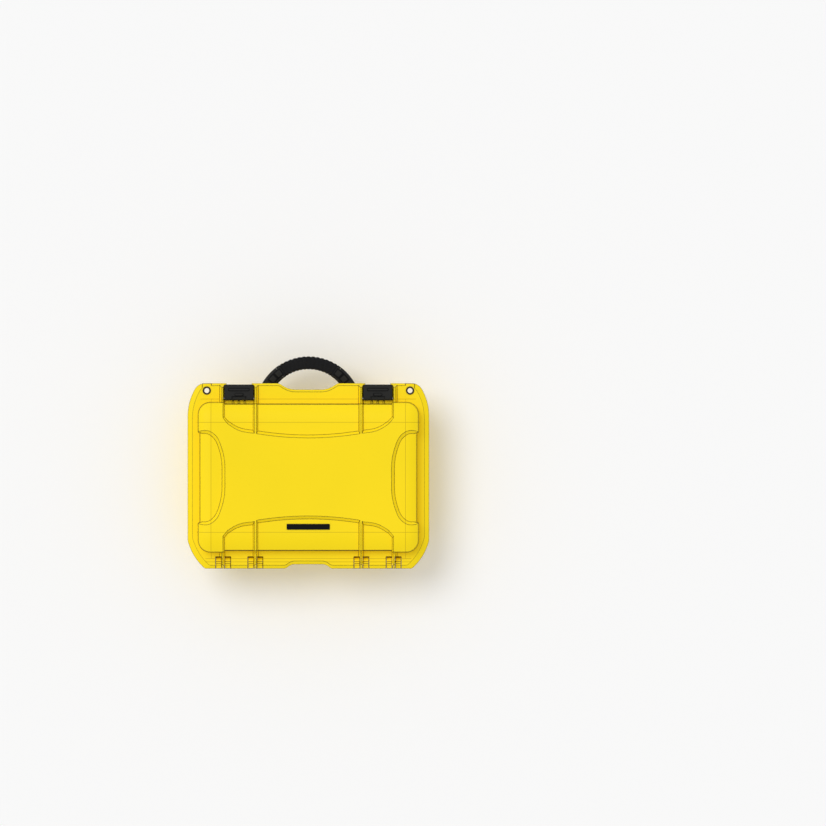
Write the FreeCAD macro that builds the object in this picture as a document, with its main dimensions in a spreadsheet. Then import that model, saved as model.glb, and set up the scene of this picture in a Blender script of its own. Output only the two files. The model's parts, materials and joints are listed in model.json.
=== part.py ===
import FreeCAD, Part
import math
import os
import re
import Sketcher
from FreeCAD import Placement, Rotation, Vector

# A moulded hard case, lying on its base with the lid shut and the handle raised.
# Millimetres. X runs along the width, the front edge with handle and latches is at -Y, the hinge at +Y.
# The origin lies under the middle of the rim, on the surface that the base rests on.

# Driving sizes: name, value, what it measures
SIZES = [
    ("case_width", 460, "width over the rims"),
    ("case_length", 353.2, "front to rear over the rims"),
    ("base_height", 110, "bottom to the parting plane"),
    ("lid_height", 45, "parting plane to the top of the lid"),
    ("wall", 3.2, "moulded wall"),
    ("shut_gap", 0.3, "gap between the rims when shut"),
    ("rim_depth", 9, "thickness of each rim"),
    ("rim_face", 4.5, "upright part of the edge of each rim"),
    ("side_band", 9, "width of the sloped band on the sides of the rim"),
    ("front_band", 4.4, "width of the sloped band on the front of the rim"),
    ("rear_band", 6.3, "width of the sloped band on the rear of the rim"),
    ("front_sweep_start", 36.4, "front corner: bend on the side, from the front edge"),
    ("front_sweep_radius", 104, "front corner: radius of the long bend"),
    ("front_bend_start", 19.6, "front corner: bend on the front, from the side"),
    ("front_bend_radius", 22.5, "front corner: radius of the short bend"),
    ("rear_start", 52.2, "rear corner: first bend, from the rear edge"),
    ("rear_start_radius", 25, "rear corner: radius of the first bend"),
    ("rear_sweep_side", 11.6, "rear corner: middle bend, from the side"),
    ("rear_sweep_rear", 20.3, "rear corner: middle bend, from the rear edge"),
    ("rear_sweep_radius", 100, "rear corner: radius of the middle bend"),
    ("rear_bend_start", 32.6, "rear corner: last bend, from the side"),
    ("rear_bend_radius", 7, "rear corner: radius of the last bend"),
    ("front_notch_mouth", 111.4, "finger notch: width at the front edge"),
    ("front_notch_floor", 76, "finger notch: width at its floor"),
    ("front_notch_depth", 12, "finger notch: depth"),
    ("front_notch_lip", 14, "finger notch: rounding at the edge"),
    ("front_notch_bend", 46, "finger notch: rounding at its floor"),
    ("rear_notch_mouth", 86.6, "rear notch: width at the rear edge"),
    ("rear_notch_floor", 66, "rear notch: width at its floor"),
    ("rear_notch_depth", 8.2, "rear notch: depth"),
    ("rear_notch_lip", 10, "rear notch: rounding at the edge"),
    ("rear_notch_bend", 22, "rear notch: rounding at its floor"),
    ("dome_side", 20, "foot of the dome, in from the side"),
    ("dome_front", 36.3, "foot of the dome, in from the front edge"),
    ("dome_rear", 31.4, "foot of the dome, in from the rear edge"),
    ("dome_corner", 23, "plan radius of the dome's corners"),
    ("dome_lean", 1.2, "lean of the dome's wall"),
    ("crown_side", 45, "flat top, in from the side"),
    ("crown_front", 74.4, "flat top, in from the front edge"),
    ("crown_rear", 69.6, "flat top, in from the rear edge"),
    ("crown_side_drop", 9, "fall of the crown to the sides"),
    ("crown_front_drop", 14, "fall of the crown to the front"),
    ("crown_rear_drop", 12, "fall of the crown to the rear"),
    ("bay_depth", 6, "depth of the bays in the crown"),
    ("bay_slope", 5.4, "width of the slope at the end of a bay"),
    ("bay_step", 3.3, "set-back of the wall in the bays"),
    ("rib_inset", 65.9, "middle of the outer ribs, in from the side"),
    ("rib_foot", 9.5, "width of a rib at its foot"),
    ("rib_setback", 1, "foot of the ribs, behind the edge of the rim"),
    ("rib_slope", 7.6, "top of the ribs, behind the edge of the rim"),
    ("rib_crest", 3, "width of a rib at its top"),
    ("rib_rise", 9.5, "height of the ribs over the rim"),
    ("front_arch", 97.6, "end of the front bay at the middle, from the front edge"),
    ("rear_arch", 94.2, "end of the rear bay at the middle, from the rear edge"),
    ("arch_rise", 6.6, "rise of those ends over their corners"),
    ("latch_bay_inner", 89.5, "end of the latch bay at the inner rib, from the front edge"),
    ("latch_bay_middle", 86, "end of the latch bay at its middle, from the front edge"),
    ("latch_bay_outer", 72, "end of the latch bay at the outer rib, from the front edge"),
    ("hinge_bay_inner", 84, "end of the hinge bay at the inner rib, from the rear edge"),
    ("hinge_bay_middle", 81, "end of the hinge bay at its middle, from the rear edge"),
    ("hinge_bay_outer", 68, "end of the hinge bay at the outer rib, from the rear edge"),
    ("bay_bend_radius", 60, "rounding of the bays' ends"),
    ("bay_corner", 11.4, "outer corner of a bay, in from the middle of the outer rib"),
    ("panel_inset", 14.3, "hollow under the middle panel, in from the middle of the outer ribs"),
    ("scoop_middle", 3.1, "middle of the side scoops, behind the middle of the case"),
    ("scoop_reach", 71.5, "innermost point of the scoops, in from the side"),
    ("scoop_half", 88.8, "half length of the scoops"),
    ("scoop_flat", 39, "half length of the scoops' flat side"),
    ("scoop_shoulder", 16.5, "shoulder of the scoops, out from their innermost point"),
    ("scoop_shoulder_radius", 36, "rounding of that shoulder"),
    ("scoop_side_radius", 120, "rounding beside the flat side"),
    ("scoop_flare", 7, "widening of the scoops towards the rim"),
    ("tub_side", 23, "wall of the base, in from the side"),
    ("tub_front", 37.6, "wall of the base, in from the front edge"),
    ("tub_rear", 35.6, "wall of the base, in from the rear edge"),
    ("tub_corner", 26, "plan radius of the base's corners"),
    ("tub_draft", 5, "lean of the base's wall over its height"),
    ("tub_foot_radius", 10, "rounding of the bottom edge"),
    ("post_setback", 3, "front of the base's front ribs, behind the front edge"),
    ("post_shoulder", 86, "height of the upright front of those ribs"),
    ("post_waist", 52, "height where those ribs narrow"),
    ("post_foot", 16, "height of the foot of those ribs"),
    ("post_radius", 14, "rounding of the ribs of the base"),
    ("ear_drop", 17, "height of the rear face of an ear"),
    ("ear_foot", 40, "height of the foot of an ear's rib"),
    ("seal_width", 5, "width of the gasket"),
    ("seal_depth", 4.5, "depth of the gasket's groove"),
    ("seal_side", 21, "middle of the gasket, in from the side"),
    ("seal_front", 37.6, "middle of the gasket, in from the front edge"),
    ("seal_rear", 34.4, "middle of the gasket, in from the rear edge"),
    ("running_fit", 0.05, "radial clearance of a pin that turns"),
    ("tight_fit", 0.02, "radial clearance of a pin that is held"),
    ("side_play", 0.35, "side clearance of moving pieces"),
    ("hinge_inset", 12.6, "hinge axis, in from the rear edge"),
    ("hinge_ear_radius", 8.6, "radius of the base's hinge ears"),
    ("hinge_ear_width", 11, "width of an ear"),
    ("hinge_knuckle_radius", 7, "radius of the lid's knuckles"),
    ("hinge_knuckle_width", 5.4, "width of a knuckle"),
    ("hinge_pin_radius", 2.5, "radius of the hinge pins"),
    ("hinge_room", 1.5, "room around the hinge"),
    ("hinge_outer_shift", 1.7, "middle of the outer hinges, in from the outer ribs"),
    ("hinge_inner_shift", 0.6, "middle of the inner hinges, out from the inner ribs"),
    ("latch_width", 55.4, "width of the latch lever"),
    ("latch_margin", 4.15, "side of the latch lever to the middle of a rib"),
    ("latch_front", 2.4, "front of the latch lever, from the front edge"),
    ("latch_rear", 32.7, "rear of the latch lever, from the front edge"),
    ("lever_height", 10.4, "height of the latch lever"),
    ("lever_roof", 2.6, "thickness of the lever's top"),
    ("lever_cheek", 4, "thickness of the lever's cheeks"),
    ("lever_lift", 0.4, "gap between the lever and the rim"),
    ("lever_hub_radius", 3.7, "radius of the lever's hub"),
    ("lever_pin_radius", 2, "radius of the lever pin"),
    ("latch_rib_wall", 4, "depth of the pin's hole in the ribs"),
    ("claw_pin_inset", 7.2, "claw pin, from the front edge"),
    ("claw_pin_radius", 1.6, "radius of the claw pin"),
    ("claw_knuckle_radius", 3.1, "radius of the claw's knuckle"),
    ("claw_thickness", 4, "thickness of the claw"),
    ("claw_notch", 12.2, "depth of the rims' notches for the claw"),
    ("claw_clear", 0.4, "gap between the resting claw and the notch"),
    ("hook_thickness", 3.4, "thickness of the claw's hook"),
    ("hook_drop", 1.2, "gap between the resting hook and the rim"),
    ("slide_inset", 21.6, "slide lock, from the front edge"),
    ("slide_travel", 4, "travel of the slide lock"),
    ("slide_button_length", 16, "length of the slide lock's button"),
    ("slide_button_width", 5, "width of the button"),
    ("slide_button_rise", 1.8, "height of the button over the lever"),
    ("slide_neck_length", 8, "length of the slide lock's neck"),
    ("slide_neck_width", 2.6, "width of the slide lock's neck"),
    ("slide_tongue_width", 4, "width of the tongue"),
    ("slide_tongue_depth", 1.6, "thickness of the tongue"),
    ("slide_play", 0.25, "clearance of the slide lock"),
    ("grip_ridge_inset", 12, "finger ridge on the lever, from the front edge"),
    ("grip_ridge_length", 40, "length of the finger ridge"),
    ("grip_ridge_width", 5, "width of the finger ridge"),
    ("grip_ridge_rise", 1, "height of the finger ridge"),
    ("bump_spacing", 11.4, "between the low ribs behind a latch"),
    ("handle_centre", 50.6, "centre of the handle's arc, behind the front edge"),
    ("handle_bulge", 6.7, "outer radius of the handle, over the reach of its hubs"),
    ("handle_width", 25, "width of the handle"),
    ("handle_thickness", 17, "thickness of the handle"),
    ("handle_rounding", 5, "rounding of the handle"),
    ("handle_arc_angle", 160, "angle of the handle's arc before its legs are trimmed"),
    ("handle_grip_angle", 76, "angle that the soft grip covers"),
    ("handle_core_overlap", 2, "angle that the core goes on into a leg"),
    ("handle_core_width", 15, "width of the core inside the grip"),
    ("handle_core_thickness", 9, "thickness of the core inside the grip"),
    ("handle_pivot", 16.6, "handle pivot, from the front edge"),
    ("handle_below", 25, "handle pivot, below the parting plane"),
    ("handle_hub_length", 17, "length of the handle's hubs"),
    ("handle_pin_radius", 4, "radius of the handle pins"),
    ("pin_head_radius", 6, "radius of the handle pins' heads"),
    ("pin_head_rise", 2, "height of the handle pins' heads"),
    ("padlock_side", 36.4, "padlock hole, in from the side"),
    ("padlock_front", 13.9, "padlock hole, in from the front edge"),
    ("padlock_radius", 4.75, "radius of the padlock hole"),
    ("eyelet_wall", 1.2, "wall of the padlock eyelet"),
    ("eyelet_flange_radius", 7.9, "radius of the eyelet's flange"),
    ("eyelet_flange", 1, "thickness of the eyelet's flange"),
    ("padlock_pad_radius", 8.6, "radius of the flat pad round the padlock hole"),
    ("valve_height", 48, "height of the pressure valve"),
    ("valve_radius", 6, "radius of the valve's stem"),
    ("valve_flange_radius", 12, "radius of the valve's flange"),
    ("valve_flange", 3, "thickness of the valve's flange"),
    ("valve_boss_radius", 14, "radius of the bosses that hold the valve"),
    ("valve_seal", 1.5, "thickness of the valve's seal"),
    ("valve_nut_flat", 18, "width across the flats of the valve's nut"),
    ("valve_nut", 5, "thickness of the valve's nut"),
    ("plate_length", 82, "length of the blank plate"),
    ("plate_width", 11, "width of the blank plate"),
    ("plate_thickness", 1.2, "thickness of the blank plate"),
    ("plate_inset", 80, "middle of the blank plate, in from the rear edge"),
]

# Sizes that follow from the driving ones: name, expression, what it measures
FOLLOWING = [
    ("rib_outer", "case_width / 2 - rib_inset", "middle of the outer ribs"),
    ("rib_inner", "rib_outer - latch_width - 2 * latch_margin", "middle of the inner ribs"),
    ("hinge_outer", "rib_outer - hinge_outer_shift", "middle of the outer hinges"),
    ("hinge_inner", "rib_inner + hinge_inner_shift", "middle of the inner hinges"),
    ("hub_end", "rib_inner - rib_foot / 2 - side_play", "outer ends of the handle's hubs"),
    ("handle_outer", "hub_end + handle_bulge", "outer radius of the handle"),
]
ALIASES = {name for name, value, meaning in SIZES + FOLLOWING}

doc = FreeCAD.newDocument("HardCase")
sheet = doc.addObject("Spreadsheet::Sheet", "Sizes")
for row, (name, value, meaning) in enumerate(SIZES + FOLLOWING, start=1):
    sheet.set(f"A{row}", meaning)
    sheet.set(f"B{row}", f"={value}")
    sheet.setAlias(f"B{row}", name)
doc.recompute()

# Places that several pieces share, written with the driving sizes
FRONT = "-case_length / 2"
REAR = "case_length / 2"
SIDE = "case_width / 2"
LID_TOP = "base_height + lid_height"
LID_RIM_FLOOR = "base_height + shut_gap"
LID_RIM_TOP = "base_height + shut_gap + rim_depth"
HINGE_Y = "case_length / 2 - hinge_inset"
LATCH_X = "(rib_outer + rib_inner) / 2"
LATCH_POCKET_HALF = "(latch_width / 2 + side_play)"
CLAW_HALF = "(latch_width / 2 - lever_cheek - side_play)"
LEVER_FLOOR = f"({LID_RIM_TOP} + lever_lift)"
LEVER_TOP = f"({LEVER_FLOOR} + lever_height)"
LEVER_PIN_Y = f"({FRONT} + latch_rear - lever_hub_radius)"
LEVER_PIN_Z = f"({LEVER_FLOOR} + lever_hub_radius)"
CLAW_PIN_Y = f"({FRONT} + claw_pin_inset)"
CLAW_PIN_Z = f"({LEVER_TOP} - lever_roof - claw_knuckle_radius - claw_clear)"


def with_sheet(text):
    """Put the sheet's name before each size in an expression."""
    def add(word):
        return "Sizes." + word.group() if word.group() in ALIASES else word.group()
    return re.sub(r"[a-z][a-z_]+", add, str(text))


def number(text):
    """The value of an expression in millimetres."""
    return float(sheet.evalExpression(str(text)))


def bind(item, **expressions):
    for name, text in expressions.items():
        item.setExpression(name.replace("__", "."), with_sheet(text))


# Sketch planes: turn from the XY plane, and the axis that the plane is moved along
PLANES = {
    "plan": (Rotation(), "z"),
    "side": (Rotation(Vector(1, 1, 1), 120), "x"),
    "front": (Rotation(Vector(1, 0, 0), 90), "y"),
}


def corner_points(points, radii, index, closed):
    """Where the straight edges beside one corner end, and the middle of the arc between them."""
    point = points[index]
    ends = not closed and index in (0, len(points) - 1)
    if ends or radii[index] == 0:
        return point, point, point
    before = (points[index - 1] - point).normalize()
    after = (points[(index + 1) % len(points)] - point).normalize()
    half_angle = before.getAngle(after) / 2
    tangent = radii[index] / math.tan(half_angle)
    bisector = (before + after).normalize()
    middle = point + bisector * (radii[index] / math.sin(half_angle) - radii[index])
    return point + before * tangent, point + after * tangent, middle


def sketch_at(name, plane, place, body=None):
    maker = body.newObject if body else doc.addObject
    sketch = maker("Sketcher::SketchObject", name)
    turn, axis = PLANES[plane]
    sketch.Placement = Placement(Vector(), turn)
    bind(sketch, **{f"Placement__Base__{axis}": place})
    return sketch


def outline(name, plane, place, corners, closed=True, body=None):
    """A sketch of straight edges. A corner is (across, up) or (across, up, radius), all bound to sizes."""
    sketch = sketch_at(name, plane, place, body)
    points = [Vector(number(corner[0]), number(corner[1]), 0) for corner in corners]
    radii = [number(corner[2]) if len(corner) > 2 else 0 for corner in corners]
    count = len(points)
    ends = [corner_points(points, radii, index, closed) for index in range(count)]
    edge_count = count if closed else count - 1
    for index in range(edge_count):
        start = ends[index][1]
        finish = ends[(index + 1) % count][0]
        sketch.addGeometry(Part.LineSegment(start, finish), False)
    rules = []
    bound = []

    def fix(geometry, vertex, corner):
        for kind, text in (("DistanceX", corner[0]), ("DistanceY", corner[1])):
            bound.append((len(rules), text))
            rules.append(Sketcher.Constraint(kind, -1, 1, geometry, vertex, number(text)))

    for index, corner in enumerate(corners):
        edge_before = (index - 1) % count
        if not closed and index == 0:
            fix(0, 1, corner)
        elif not closed and index == count - 1:
            fix(edge_before, 2, corner)
        elif radii[index] == 0:
            rules.append(Sketcher.Constraint("Coincident", edge_before, 2, index, 1))
            fix(index, 1, corner)
        else:
            start, finish, middle = ends[index]
            turn = (points[index] - start).cross(finish - points[index]).z
            arc = sketch.addGeometry(Part.Arc(start, middle, finish), False)
            first, last = (1, 2) if turn > 0 else (2, 1)
            rules.append(Sketcher.Constraint("Tangent", edge_before, 2, arc, first))
            rules.append(Sketcher.Constraint("Tangent", index, 1, arc, last))
            bound.append((len(rules), corner[2]))
            rules.append(Sketcher.Constraint("Radius", arc, radii[index]))
            apex = sketch.addGeometry(Part.Point(points[index]), True)
            rules.append(Sketcher.Constraint("PointOnObject", apex, 1, edge_before))
            rules.append(Sketcher.Constraint("PointOnObject", apex, 1, index))
            fix(apex, 1, corner)
    sketch.addConstraint(rules)
    for index, text in bound:
        sketch.setExpression(f"Constraints[{index}]", with_sheet(text))
    return sketch


def rounded_box(name, plane, place, low, high, radius):
    """A rectangle between two corners, with one rounding."""
    corners = [(low[0], low[1]), (high[0], low[1]), (high[0], high[1]), (low[0], high[1])]
    return outline(name, plane, place, [(across, up, radius) for across, up in corners])


def prism(name, sketch, length, symmetric=False):
    item = doc.addObject("Part::Extrusion", name)
    item.Base = sketch
    item.DirMode = "Normal"
    item.Solid = True
    item.Symmetric = symmetric
    bind(item, LengthFwd=length)
    return item


def loft(name, sketches):
    """A solid with straight walls from one sketch to the next."""
    item = doc.addObject("Part::Loft", name)
    item.Sections = sketches
    item.Ruled = True
    item.Solid = True
    return item


def box(name, low, high):
    """A box between two corners."""
    item = doc.addObject("Part::Box", name)
    sides = zip(("Length", "Width", "Height"), "xyz", low, high)
    for size, axis, start, finish in sides:
        bind(item, **{size: f"({finish}) - ({start})", f"Placement__Base__{axis}": start})
    return item


# Turns that lay a cylinder along an axis
ALONG = {"x": Rotation(Vector(0, 1, 0), 90), "y": Rotation(Vector(1, 0, 0), -90), "z": Rotation()}


def rod(name, axis, radius, start, length):
    """A cylinder from a point along an axis."""
    item = doc.addObject("Part::Cylinder", name)
    item.Placement = Placement(Vector(), ALONG[axis])
    bind(item, Radius=radius, Height=length)
    for letter, text in zip("xyz", start):
        bind(item, **{f"Placement__Base__{letter}": text})
    return item


def fuse(name, *items):
    item = doc.addObject("Part::MultiFuse", name)
    item.Shapes = list(items)
    return item


def common(name, *items):
    item = doc.addObject("Part::MultiCommon", name)
    item.Shapes = list(items)
    return item


def cut(name, base, *tools):
    item = doc.addObject("Part::Cut", name)
    item.Base = base
    item.Tool = tools[0] if len(tools) == 1 else fuse(name + "Tools", *tools)
    return item


def mirrored(name, source):
    """The same piece on the other side of the case."""
    item = doc.addObject("Part::Mirroring", name)
    item.Source = source
    item.Normal = Vector(1, 0, 0)
    return item


def both_sides(name, item):
    return fuse(name + "Pair", item, mirrored(name + "Left", item))


def fillet(name, base, radius, wanted):
    """Round the edges that wanted picks."""
    doc.recompute()
    item = doc.addObject("Part::Fillet", name)
    item.Base = base
    size = number(radius)
    edges = enumerate(base.Shape.Edges, start=1)
    item.Edges = [(index, size, size) for index, edge in edges if wanted(edge)]
    return item


subparts = {}


def subpart(label, item):
    """Name a finished piece."""
    item.Label = label
    subparts[label] = item
    return item


# Rims: the lid and the base share one outline
def rim_outline(name, height, side="0", front="0", rear="0"):
    """The rim's outline, drawn in from its edges by the width of the sloped band."""
    right = f"{SIDE} - {side}"
    near = f"{FRONT} + {front}"
    far = f"{REAR} - {rear}"
    right_half = [
        ("front_notch_floor / 2", f"{near} + front_notch_depth", "front_notch_bend"),
        ("front_notch_mouth / 2", near, "front_notch_lip"),
        (f"{right} - front_bend_start", near, "front_bend_radius"),
        (right, f"{near} + front_sweep_start", "front_sweep_radius"),
        (right, f"{far} - rear_start", "rear_start_radius"),
        (f"{right} - rear_sweep_side", f"{far} - rear_sweep_rear", "rear_sweep_radius"),
        (f"{right} - rear_bend_start", far, "rear_bend_radius"),
        ("rear_notch_mouth / 2", far, "rear_notch_lip"),
        ("rear_notch_floor / 2", f"{far} - rear_notch_depth", "rear_notch_bend"),
    ]
    left_half = [(f"-({across})", up, radius) for across, up, radius in reversed(right_half)]
    return outline(name, "plan", height, right_half + left_half)


def rim(name, floor, bend, top):
    """A rim from its plain face over the bend to its sloped band."""
    bands = {"side": "side_band", "front": "front_band", "rear": "rear_band"}
    return loft(name, [
        rim_outline(name + "Face", floor),
        rim_outline(name + "Bend", bend),
        rim_outline(name + "Band", top, **bands),
    ])


def plan_block(name, side, front, rear, radius, heights, leans):
    """A block with rounded corners whose wall leans in from one height to the next."""
    sketches = []
    for step, (height, lean) in enumerate(zip(heights, leans)):
        low = (f"-{SIDE} + {side} + {lean}", f"{FRONT} + {front} + {lean}")
        high = (f"{SIDE} - ({side} + {lean})", f"{REAR} - ({rear} + {lean})")
        sketches.append(rounded_box(f"{name}Plan{step}", "plan", height, low, high, radius))
    return loft(name, sketches)


# The crown: one arched section carried without turning along an arched path
def arch_bend(reach, drop):
    """Distance from the flat to the bend of an arc that falls by drop over reach, and its radius."""
    return f"(({reach})^2 + {drop}^2) / (2 * ({reach}))", f"(({reach})^2 + {drop}^2) / (2 * {drop})"


# How far the crown's slopes run on past the foot of the dome, where the dome's block trims them
CROWN_RUN_OUT = 2


def crown_side_corners(top):
    """The section's right shoulder, from its lower end to the flat."""
    reach = "crown_side - dome_side"
    bend, radius = arch_bend(reach, "crown_side_drop")
    flat = f"{SIDE} - crown_side"
    low_end = (
        f"{flat} + {bend} + ({reach} - {bend}) * {CROWN_RUN_OUT}",
        f"{top} - crown_side_drop * {CROWN_RUN_OUT}",
    )
    return [low_end, (f"{flat} + {bend}", top, radius)]


def crown_path(name, body):
    """The path from front to rear that the section follows."""
    front_reach = "crown_front - dome_front"
    rear_reach = "crown_rear - dome_rear"
    front_bend, front_radius = arch_bend(front_reach, "crown_front_drop")
    rear_bend, rear_radius = arch_bend(rear_reach, "crown_rear_drop")
    front_flat = f"{FRONT} + crown_front"
    rear_flat = f"{REAR} - crown_rear"
    corners = [
        (f"{front_flat} - {front_bend} - ({front_reach} - {front_bend}) * {CROWN_RUN_OUT}",
         f"-crown_front_drop * {CROWN_RUN_OUT}"),
        (f"{front_flat} - {front_bend}", "0", front_radius),
        (f"{rear_flat} + {rear_bend}", "0", rear_radius),
        (f"{rear_flat} + {rear_bend} + ({rear_reach} - {rear_bend}) * {CROWN_RUN_OUT}",
         f"-crown_rear_drop * {CROWN_RUN_OUT}"),
    ]
    return outline(name, "side", "0", corners, closed=False, body=body)


def swept_section(name, half):
    """Carry a symmetric section, given by its right half from bottom to top, along the crown's path."""
    body = doc.addObject("PartDesign::Body", name)
    left = [(f"-({corner[0]})",) + tuple(corner[1:]) for corner in reversed(half)]
    section = outline(name + "Section", "front", "0", half + left, body=body)
    path = crown_path(name + "Path", body)
    doc.recompute()
    pipe = body.newObject("PartDesign::AdditivePipe", name + "Pipe")
    pipe.Profile = section
    pipe.Spine = (path, [f"Edge{edge + 1}" for edge in range(len(path.Shape.Edges))])
    pipe.Mode = "Fixed"
    return body


def crown(name, lowered):
    """Everything under the crown's surface, lowered by a distance."""
    top = f"{LID_TOP} - ({lowered})"
    shoulder = crown_side_corners(top)
    floor = (shoulder[0][0], "base_height - lid_height")
    return swept_section(name, [floor] + shoulder)


def bay_comb():
    """The space over the bays: deep between the ribs, and just clear of the crown over them."""
    floor = f"{LID_TOP} - bay_depth - wall / 2"
    over = f"{LID_TOP} + wall / 2"
    roof = f"{LID_TOP} + lid_height"
    lean = "(rib_foot - rib_crest) / 2"
    inner_low = "rib_inner - rib_foot / 2"
    inner_high = "rib_inner + rib_foot / 2"
    outer_low = "rib_outer - rib_foot / 2"
    half = [
        (inner_low, floor),
        (f"{inner_low} + {lean}", over),
        (f"{inner_high} - {lean}", over),
        (inner_high, floor),
        (outer_low, floor),
        (f"{outer_low} + {lean}", over),
        (f"{outer_low} + {lean}", roof),
    ]
    return swept_section("BayComb", half)


# Lid
# Share of a full arc's radius that the bays' arched ends have, which leaves them straight ends
ARCH_SHARE = 0.85


def island(name, height, slope):
    """The raised middle panel between the ends of the front and rear bays."""
    arch_radius = f"{ARCH_SHARE} * ((rib_inner - rib_foot / 2)^2 + arch_rise^2) / (2 * arch_rise)"
    inner = "rib_inner - rib_foot / 2"
    outer = "rib_inner + rib_foot / 2"
    bay_end = "rib_outer - bay_corner"
    beyond = "rib_outer + rib_foot / 2"
    front = [
        (inner, f"{FRONT} + front_arch - arch_rise + {slope}"),
        (outer, f"{FRONT} + latch_bay_inner + {slope}"),
        (LATCH_X, f"{FRONT} + latch_bay_middle + {slope}", "bay_bend_radius"),
        (bay_end, f"{FRONT} + latch_bay_outer + {slope}"),
        (beyond, f"{FRONT} + latch_bay_outer - 2 * rib_foot + {slope}"),
    ]
    rear = [
        (beyond, f"{REAR} - (hinge_bay_outer - 2 * rib_foot + {slope})"),
        (bay_end, f"{REAR} - (hinge_bay_outer + {slope})"),
        (LATCH_X, f"{REAR} - (hinge_bay_middle + {slope})", "bay_bend_radius"),
        (outer, f"{REAR} - (hinge_bay_inner + {slope})"),
        (inner, f"{REAR} - (rear_arch - arch_rise + {slope})"),
    ]
    right = front + rear
    left = [(f"-({corner[0]})",) + tuple(corner[1:]) for corner in reversed(right)]
    front_middle = ("0", f"{FRONT} + front_arch + arch_rise + {slope}", arch_radius)
    rear_middle = ("0", f"{REAR} - (rear_arch + arch_rise + {slope})", arch_radius)
    return outline(name, "plan", height, [front_middle] + right + [rear_middle] + left)


# How much of a scoop's slope its shoulders take, across the case and along it
SHOULDER_ACROSS = 0.2
SHOULDER_ALONG = 0.8


def scoop_outline(name, height, inset):
    """The D-shaped scoop in the right side, drawn in by a distance."""
    shoulder_half = f"(scoop_half - bay_step - {SHOULDER_ALONG} * {inset})"
    reach = f"{SIDE} - scoop_reach + {inset}"
    shoulder = f"{reach} + scoop_shoulder - {SHOULDER_ACROSS} * {inset}"
    mouth = f"{SIDE} - dome_side + bay_step"
    corners = [
        (mouth, f"-(scoop_half + scoop_flare - {inset})"),
        (mouth, f"scoop_half + scoop_flare - {inset}"),
        (shoulder, shoulder_half, "scoop_shoulder_radius"),
        (reach, "scoop_flat", "scoop_side_radius"),
        (reach, "-scoop_flat", "scoop_side_radius"),
        (shoulder, f"-{shoulder_half}", "scoop_shoulder_radius"),
    ]
    middled = [(corner[0], f"scoop_middle + {corner[1]}") + tuple(corner[2:]) for corner in corners]
    return outline(name, "plan", height, middled)


def scoop():
    """The space of one scoop: sloped near the crown, upright below."""
    lean = "(bay_slope / bay_depth)"
    below = f"bay_slope + wall * {lean}"
    above = f"(-wall * {lean})"
    return loft("Scoop", [
        scoop_outline("ScoopFoot", f"{LID_RIM_TOP} - wall / 4", f"({below})"),
        scoop_outline("ScoopBend", f"{LID_TOP} - bay_depth - wall", f"({below})"),
        scoop_outline("ScoopMouth", f"{LID_TOP} + wall", above),
    ])


def raised_crown():
    """The corner panels, ribs and middle panel that stand over the bays."""
    slope_end = "2 * bay_slope"
    island_block = loft("Island", [
        island("IslandFoot", f"{LID_TOP} - bay_depth", "0"),
        island("IslandTop", f"{LID_TOP} + bay_depth", slope_end),
    ])
    bays = cut("Bays", bay_comb(), island_block)
    block = plan_block(
        "HighBlock", "dome_side", "dome_front", "dome_rear", "dome_corner",
        [f"{LID_RIM_FLOOR} + wall", f"{LID_TOP} + wall"], ["0", "dome_lean"],
    )
    bay_edge = "rib_outer - rib_foot / 2"
    front_trim = box(
        "FrontTrim", (f"-({bay_edge})", FRONT, f"{LID_RIM_TOP} - wall / 4"),
        (bay_edge, f"{FRONT} + dome_front + bay_step", f"{LID_TOP} + wall"),
    )
    rear_trim = box(
        "RearTrim", (f"-({bay_edge})", f"{REAR} - dome_rear - bay_step", f"{LID_RIM_TOP} - wall / 4"),
        (bay_edge, REAR, f"{LID_TOP} + wall"),
    )
    solid = common("HighSolid", crown("HighCrown", "0"), block)
    return cut("RaisedCrown", solid, bays, both_sides("Scoop", scoop()), front_trim, rear_trim)


def low_crown(name, lowered, inset, floor):
    """The crown at the level of the bays' floors, drawn in by a distance."""
    block = plan_block(
        name + "Block", f"dome_side + {inset}", f"dome_front + {inset}", f"dome_rear + {inset}",
        f"dome_corner - {inset}", [floor, f"{LID_TOP} + wall"], ["0", "dome_lean"],
    )
    return common(name, crown(name + "Crown", lowered), block)


RIB_FLOOR = f"({LID_RIM_FLOOR} + rim_face / 2)"
RIB_FOOT_HALF = f"((rib_foot + (rib_foot - rib_crest) * ({LID_RIM_TOP} - {RIB_FLOOR}) / rib_rise) / 2)"


def lid_rib(name, middle, end, inward):
    """A rib over the rim, from near the edge into the dome. inward is 1 from the front, -1 from the rear."""
    sketches = []
    levels = (
        (RIB_FLOOR, RIB_FOOT_HALF, "rib_setback"),
        (f"{LID_RIM_TOP} + rib_rise", "rib_crest / 2", "rib_slope"),
    )
    for step, (height, half, setback) in enumerate(levels):
        start = f"{end} + {inward} * {setback}"
        finish = f"{end} + {inward} * (dome_front + rib_foot)"
        corners = [
            (f"{middle} - {half}", start), (f"{middle} + {half}", start),
            (f"{middle} + {half}", finish), (f"{middle} - {half}", finish),
        ]
        sketches.append(outline(f"{name}Level{step}", "plan", height, corners))
    return loft(name, sketches)


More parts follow.
